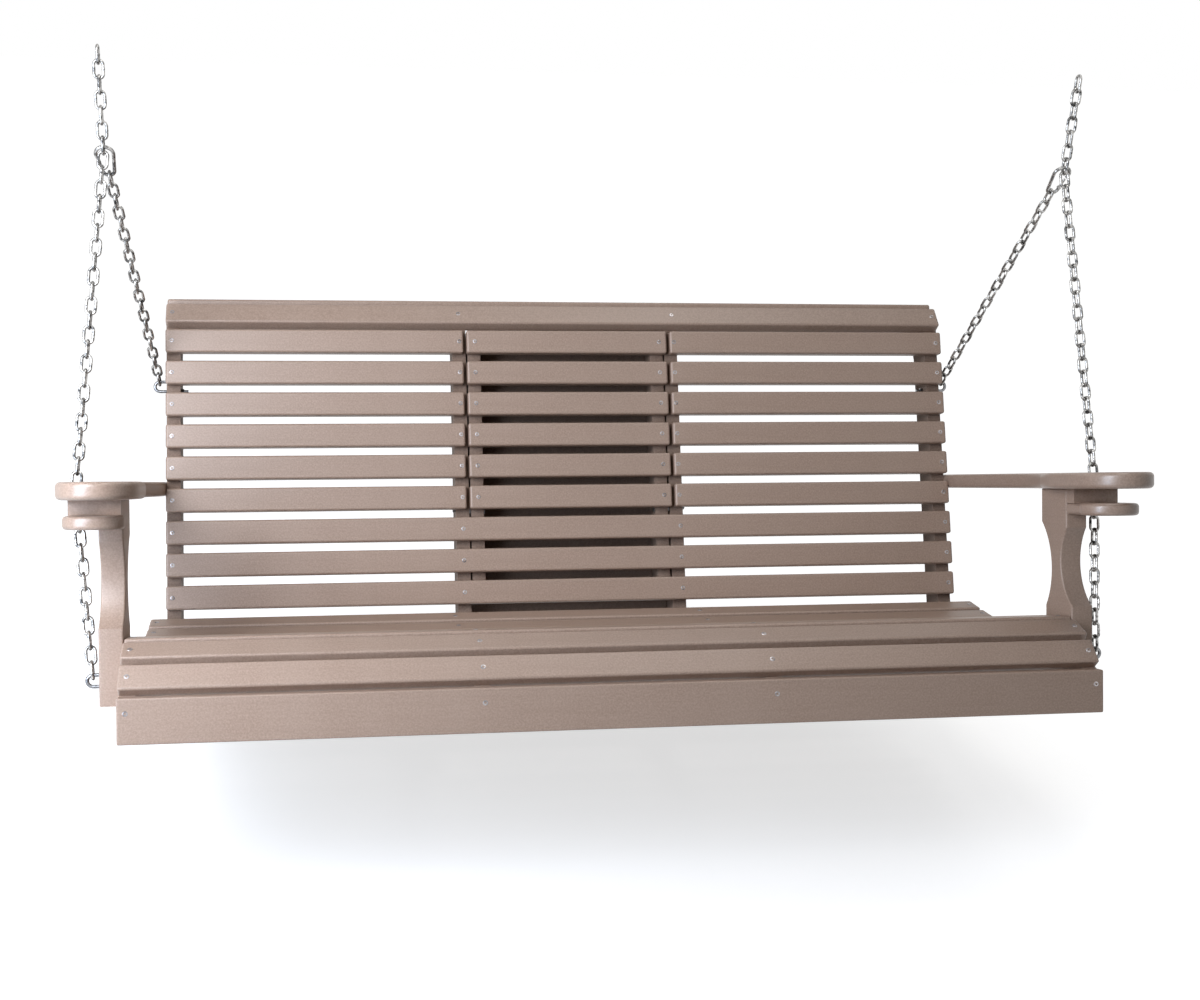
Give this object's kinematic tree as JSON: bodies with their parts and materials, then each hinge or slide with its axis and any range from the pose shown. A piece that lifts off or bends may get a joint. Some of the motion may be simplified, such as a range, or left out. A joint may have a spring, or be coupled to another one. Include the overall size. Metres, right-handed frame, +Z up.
{
  "type": "porch swing seat",
  "caption": "Slatted plastic-lumber porch swing seat on chain bridles, with a fold-down middle console and arms with cup holes.",
  "frame": {"origin": "midway between the two points where the chains hang on their top links", "axes": "+X along the seat to its right end as seen from the front, +Y to the back of the seat, +Z up against gravity; the seat is stored as it hangs at rest, leaning back"},
  "size_m": [1.778, 0.8523, 1.1619],
  "materials": {
    "lumber": "satin, mottled",
    "zinc": "zinc plated",
    "stainless": "bright"
  },
  "bodies": {
    "hangers": {"top_link_left": "zinc", "top_link_right": "zinc"},
    "swing": {"arm_left": "lumber", "arm_post_left": "lumber", "arm_post_right": "lumber", "arm_right": "lumber", "back_cap_slat": "lumber", "back_crest_slat": "lumber", "back_slat_1_left": "lumber", "back_slat_1_right": "lumber", "back_slat_2_left": "lumber", "back_slat_2_right": "lumber", "back_slat_3_left": "lumber", "back_slat_3_right": "lumber", "back_slat_4_left": "lumber", "back_slat_4_right": "lumber", "back_slat_5_left": "lumber", "back_slat_5_right": "lumber", "back_slat_6_left": "lumber", "back_slat_6_right": "lumber", "back_slat_7": "lumber", "back_slat_8": "lumber", "back_slat_9": "lumber", "back_u_bolt_left": "stainless", "back_u_bolt_right": "stainless", "cup_rest_left": "lumber", "cup_rest_right": "lumber", "front_apron": "lumber", "main_chain_left": "zinc", "main_chain_right": "zinc", "post_u_bolt_left": "stainless", "post_u_bolt_right": "stainless", "rear_chain_left": "zinc", "rear_chain_right": "zinc", "seat_rail_end_left": "lumber", "seat_rail_end_right": "lumber", "seat_rail_inner_left": "lumber", "seat_rail_inner_right": "lumber", "seat_slat_1": "lumber", "seat_slat_2": "lumber", "seat_slat_3": "lumber", "seat_slat_4": "lumber", "seat_slat_5": "lumber", "seat_slat_6": "lumber", "seat_slat_7": "lumber", "seat_slat_8": "lumber", "seat_slat_9": "lumber", "snap_hook_left": "zinc", "snap_hook_right": "zinc", "upright_end_left": "lumber", "upright_end_right": "lumber", "upright_inner_left": "lumber", "upright_inner_right": "lumber"},
    "console_pivots": {"console_pivot_left": "stainless", "console_pivot_right": "stainless"},
    "console": {"console_panel": "lumber", "console_tray": "lumber"},
    "gate_left": {"snap_gate_left": "zinc"},
    "gate_right": {"snap_gate_right": "zinc"}
  },
  "joints": [
    {"name": "swing", "type": "hinge", "parent": "hangers", "child": "swing", "pos_m": [0, 0, 0], "axis": [1, 0, 0], "range_deg": [-25, 25]},
    {"name": "console_fold", "type": "hinge", "parent": "swing", "child": "console_pivots", "pos_m": [0, 0.17562, -0.81013], "axis": [1, 0, 0], "range_deg": [0, 100]},
    {"name": "console_slide", "type": "slide", "parent": "console_pivots", "child": "console", "axis": [0, 0.4231, 0.9061], "range_m": [0, 0.05]},
    {"name": "gate_left", "type": "hinge", "parent": "swing", "child": "gate_left", "pos_m": [-0.82346, 0.02256, -0.16661], "axis": [0, 0.8474, 0.5309], "range_deg": [0, 25], "stiffness_Nm_per_rad": 0.02, "springref_deg": -17.19},
    {"name": "gate_right", "type": "hinge", "parent": "swing", "child": "gate_right", "pos_m": [0.82346, 0.02256, -0.16661], "axis": [0, -0.8474, -0.5309], "range_deg": [0, 25], "stiffness_Nm_per_rad": 0.02, "springref_deg": -17.19}
  ],
  "couplings": [
    {"joint": "console_slide", "follows": "console_fold", "m_per_rad": 0.02864}
  ]
}
